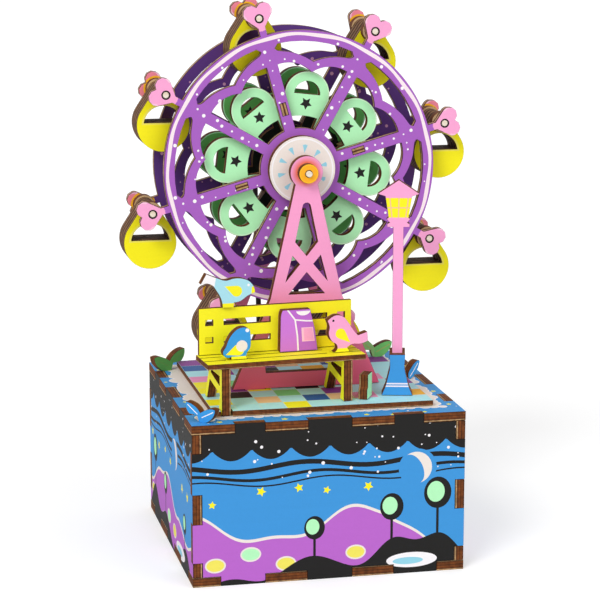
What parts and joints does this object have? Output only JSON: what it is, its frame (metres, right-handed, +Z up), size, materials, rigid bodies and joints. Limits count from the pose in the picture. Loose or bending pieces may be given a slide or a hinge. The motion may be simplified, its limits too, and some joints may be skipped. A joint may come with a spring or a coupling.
{
  "type": "crank ferris wheel toy",
  "caption": "Laser cut plywood ferris wheel with hanging gondolas on a square box, turned by a crank and belt.",
  "frame": {"origin": "middle of the box's underside, on the table", "axes": "+Z up, -Y towards the viewer and the bench, +X to the lamp's side; the wheel turns about Y"},
  "size_m": [0.1364, 0.1231, 0.2136],
  "materials": {
    "bare_ply": "bare laser cut plywood",
    "printed_panel": "printed night pattern on plywood",
    "printed_top": "printed blue border on plywood",
    "printed_tiles": "printed tile pattern on plywood",
    "purple_paint": "painted plywood",
    "mint_paint": "painted plywood",
    "cream_paint": "painted plywood",
    "pink_paint": "painted plywood",
    "orange_paint": "painted plywood",
    "yellow_paint": "painted plywood",
    "blue_paint": "painted plywood",
    "sky_paint": "painted plywood",
    "leaf_paint": "painted plywood",
    "orchid_paint": "painted plywood",
    "dowel": "bare dowel",
    "rubber": "matt black",
    "steel": "satin",
    "brass": "satin"
  },
  "bodies": {
    "box": {"bottom_plate": "bare_ply", "front_panel": "printed_panel", "back_panel": "printed_panel", "left_panel": "printed_panel", "right_panel": "printed_panel", "top_plate": "printed_top", "tile_deck": "printed_tiles", "deck_post": "mint_paint", "front_support": "pink_paint", "rear_support": "pink_paint", "lamp_post": "pink_paint", "bird_on_seat_right": "pink_paint", "bench_seat": "yellow_paint", "bench_back": "yellow_paint", "bench_leg_left": "yellow_paint", "bench_leg_right": "yellow_paint", "bird_on_seat_left": "blue_paint", "lamp_base": "blue_paint", "sprout_front_left": "blue_paint", "leaf_right": "blue_paint", "bird_on_rail": "sky_paint", "sprout_back_left": "leaf_paint", "sprout_back_right": "leaf_paint", "school_bag": "orchid_paint", "drive_belt": "rubber", "movement_frame": "steel", "movement_comb": "steel"},
    "wheel": {"wheel_front_plate": "purple_paint", "wheel_rear_plate": "purple_paint", "flower_front": "mint_paint", "flower_rear": "mint_paint", "hub_disc_front": "cream_paint", "hub_disc_rear": "cream_paint", "axle_ring": "orange_paint", "wheel_axle": "dowel", "wheel_pulley": "bare_ply", "wheel_spacer_1": "bare_ply", "wheel_spacer_2": "bare_ply", "wheel_spacer_3": "bare_ply", "wheel_spacer_4": "bare_ply", "gondola_pin_1": "dowel", "gondola_pin_2": "dowel", "gondola_pin_3": "dowel", "gondola_pin_4": "dowel", "gondola_pin_5": "dowel", "gondola_pin_6": "dowel", "gondola_pin_7": "dowel", "gondola_pin_8": "dowel"},
    "hanging_gondola_1": {"gondola_1": "yellow_paint"},
    "hanging_gondola_2": {"gondola_2": "yellow_paint"},
    "hanging_gondola_3": {"gondola_3": "yellow_paint"},
    "hanging_gondola_4": {"gondola_4": "yellow_paint"},
    "hanging_gondola_5": {"gondola_5": "yellow_paint"},
    "hanging_gondola_6": {"gondola_6": "yellow_paint"},
    "hanging_gondola_7": {"gondola_7": "yellow_paint"},
    "hanging_gondola_8": {"gondola_8": "yellow_paint"},
    "crank": {"crank_shaft": "steel", "crank_arm": "yellow_paint"},
    "knob": {"crank_knob": "pink_paint"},
    "drum": {"music_drum": "brass"}
  },
  "joints": [
    {"name": "wheel_spin", "type": "hinge", "parent": "box", "child": "wheel", "pos_m": [0, 0, 0.1493], "axis": [0, 1, 0], "continuous": true},
    {"name": "gondola_1_swing", "type": "hinge", "parent": "wheel", "child": "hanging_gondola_1", "pos_m": [0.05801, 0.0146, 0.16539], "axis": [0, 1, 0], "continuous": true},
    {"name": "gondola_2_swing", "type": "hinge", "parent": "wheel", "child": "hanging_gondola_2", "pos_m": [0.02964, 0.0146, 0.2017], "axis": [0, 1, 0], "continuous": true},
    {"name": "gondola_3_swing", "type": "hinge", "parent": "wheel", "child": "hanging_gondola_3", "pos_m": [-0.01609, 0.0146, 0.20731], "axis": [0, 1, 0], "continuous": true},
    {"name": "gondola_4_swing", "type": "hinge", "parent": "wheel", "child": "hanging_gondola_4", "pos_m": [-0.05239, 0.0146, 0.17894], "axis": [0, 1, 0], "continuous": true},
    {"name": "gondola_5_swing", "type": "hinge", "parent": "wheel", "child": "hanging_gondola_5", "pos_m": [-0.05801, 0.0146, 0.13321], "axis": [0, 1, 0], "continuous": true},
    {"name": "gondola_6_swing", "type": "hinge", "parent": "wheel", "child": "hanging_gondola_6", "pos_m": [-0.02964, 0.0146, 0.09691], "axis": [0, 1, 0], "continuous": true},
    {"name": "gondola_7_swing", "type": "hinge", "parent": "wheel", "child": "hanging_gondola_7", "pos_m": [0.01609, 0.0146, 0.09129], "axis": [0, 1, 0], "continuous": true},
    {"name": "gondola_8_swing", "type": "hinge", "parent": "wheel", "child": "hanging_gondola_8", "pos_m": [0.05239, 0.0146, 0.11966], "axis": [0, 1, 0], "continuous": true},
    {"name": "crank_turn", "type": "hinge", "parent": "box", "child": "crank", "pos_m": [0, 0, 0.032], "axis": [0, 1, 0], "continuous": true},
    {"name": "knob_spin", "type": "hinge", "parent": "crank", "child": "knob", "pos_m": [0, 0, 0.01], "axis": [0, 1, 0], "continuous": true},
    {"name": "drum_spin", "type": "hinge", "parent": "box", "child": "drum", "pos_m": [-0.0144, 0, 0.032], "axis": [0, 1, 0], "continuous": true}
  ],
  "couplings": [
    {"joint": "gondola_1_swing", "follows": "wheel_spin", "ratio": -1},
    {"joint": "gondola_2_swing", "follows": "wheel_spin", "ratio": -1},
    {"joint": "gondola_3_swing", "follows": "wheel_spin", "ratio": -1},
    {"joint": "gondola_4_swing", "follows": "wheel_spin", "ratio": -1},
    {"joint": "gondola_5_swing", "follows": "wheel_spin", "ratio": -1},
    {"joint": "gondola_6_swing", "follows": "wheel_spin", "ratio": -1},
    {"joint": "gondola_7_swing", "follows": "wheel_spin", "ratio": -1},
    {"joint": "gondola_8_swing", "follows": "wheel_spin", "ratio": -1},
    {"joint": "crank_turn", "follows": "wheel_spin", "ratio": 1.4615},
    {"joint": "drum_spin", "follows": "wheel_spin", "ratio": -0.7308}
  ]
}
